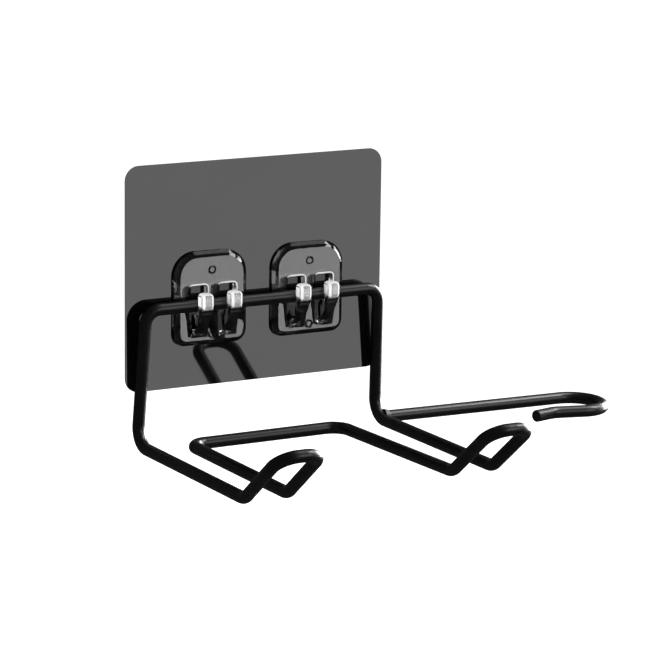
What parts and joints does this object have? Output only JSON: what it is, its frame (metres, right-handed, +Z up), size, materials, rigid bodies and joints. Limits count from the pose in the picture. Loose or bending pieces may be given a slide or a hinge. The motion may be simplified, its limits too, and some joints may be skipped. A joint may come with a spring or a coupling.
{
  "type": "hair dryer holder",
  "caption": "Adhesive wall holder with clear hook pads, a lift-out bent-rod cradle with upturned tips for a hair dryer, and a side hook for its plug.",
  "frame": {"origin": "centre of the adhesive's wall face, on the wall plane", "axes": "+Z up along the wall, -Y away from the wall towards the user, +X towards the plug hook"},
  "size_m": [0.2146, 0.1245, 0.1153],
  "materials": {
    "adhesive": "clear tacky acrylic",
    "sheet_film": "high gloss black film",
    "clear_plastic": "clear polished moulding",
    "coated_steel": "semi-gloss black powder coat"
  },
  "bodies": {
    "wall_plate": {"adhesive_layer": "adhesive", "glossy_sheet": "sheet_film", "left_pad_bond": "adhesive", "right_pad_bond": "adhesive", "left_hook_pad": "clear_plastic", "right_hook_pad": "clear_plastic"},
    "frame": {"wire_frame": "coated_steel", "plug_hook": "coated_steel", "plug_hook_weld": "coated_steel"}
  },
  "joints": [
    {"name": "frame_swing", "type": "hinge", "parent": "wall_plate", "child": "frame", "pos_m": [0.0012, -0.0065, -0.0113], "axis": [-1, 0, 0], "range_deg": [0, 105]}
  ]
}
